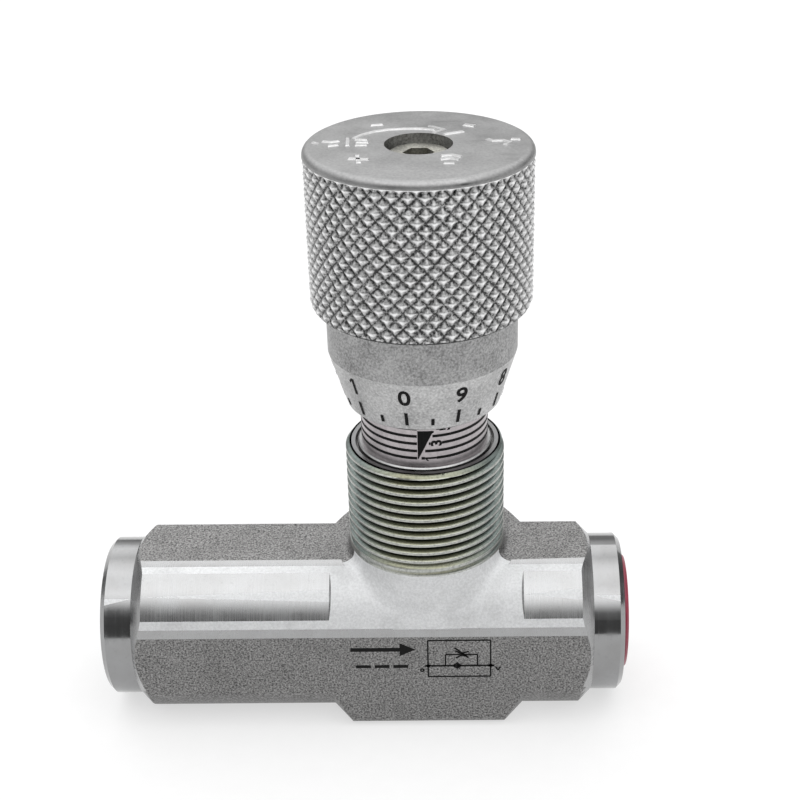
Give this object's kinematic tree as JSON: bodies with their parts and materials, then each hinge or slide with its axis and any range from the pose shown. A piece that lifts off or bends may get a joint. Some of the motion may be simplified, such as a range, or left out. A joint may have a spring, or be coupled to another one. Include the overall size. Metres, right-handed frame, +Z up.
{
  "type": "inline flow control valve",
  "caption": "Inline steel flow control valve with a threaded neck, a knurled dial knob on a scale sleeve, a needle throttle and a return check valve.",
  "frame": {"origin": "flat underside, under the spindle axis", "axes": "+Z up along the spindle, +X along the port axis towards the right port, +Y to the back of the valve"},
  "size_m": [0.0852, 0.0336, 0.0947],
  "materials": {
    "zinc_plated_steel": "zinc-plated forged and turned steel",
    "machined_steel": "bright turned steel",
    "hardened_steel": "hardened ground steel",
    "spring_steel": "spring steel",
    "plated_screw": "dark plated steel",
    "knob_aluminium": "satin cast and knurled aluminium",
    "sleeve_aluminium": "turned aluminium with printed rings",
    "seal_rubber": "nitrile rubber",
    "backup_plastic": "PTFE",
    "red_plastic": "moulded polyethylene"
  },
  "bodies": {
    "valve_body": {"body": "zinc_plated_steel", "bonnet": "machined_steel", "bonnet_oring": "seal_rubber", "bonnet_backup_ring": "backup_plastic", "scale_sleeve": "sleeve_aluminium", "throttle_seat": "hardened_steel", "check_seat": "hardened_steel", "spring_seat": "machined_steel", "retaining_ring": "spring_steel", "check_spring": "spring_steel"},
    "spindle_seals": {"spindle_oring": "seal_rubber", "spindle_backup_ring": "backup_plastic"},
    "knob_set": {"knob": "knob_aluminium", "spindle": "machined_steel", "spindle_stop_ring": "spring_steel", "knob_screw": "plated_screw", "knob_washer": "spring_steel", "knob_grub_screw": "plated_screw"},
    "poppet": {"check_poppet": "hardened_steel"},
    "plug": {"port_plug": "red_plastic"}
  },
  "joints": [
    {"name": "stem_rise", "type": "slide", "parent": "valve_body", "child": "spindle_seals", "axis": [0, 0, 1], "range_m": [-0.00622, 0.0025]},
    {"name": "knob_turn", "type": "hinge", "parent": "spindle_seals", "child": "knob_set", "pos_m": [0, 0, 0.0545], "axis": [0, 0, 1], "range_deg": [-1793.5, 720.6]},
    {"name": "check_lift", "type": "slide", "parent": "valve_body", "child": "poppet", "axis": [-1, 0, 0], "range_m": [0, 0.003], "stiffness_N_per_m": 1000, "springref_m": -0.0025, "deforming": ["check_spring"]},
    {"name": "plug_pull", "type": "slide", "parent": "valve_body", "child": "plug", "axis": [1, 0, 0], "range_m": [0, 0.04]}
  ],
  "couplings": [
    {"joint": "knob_turn", "follows": "stem_rise", "rad_per_m": 5026.5}
  ]
}
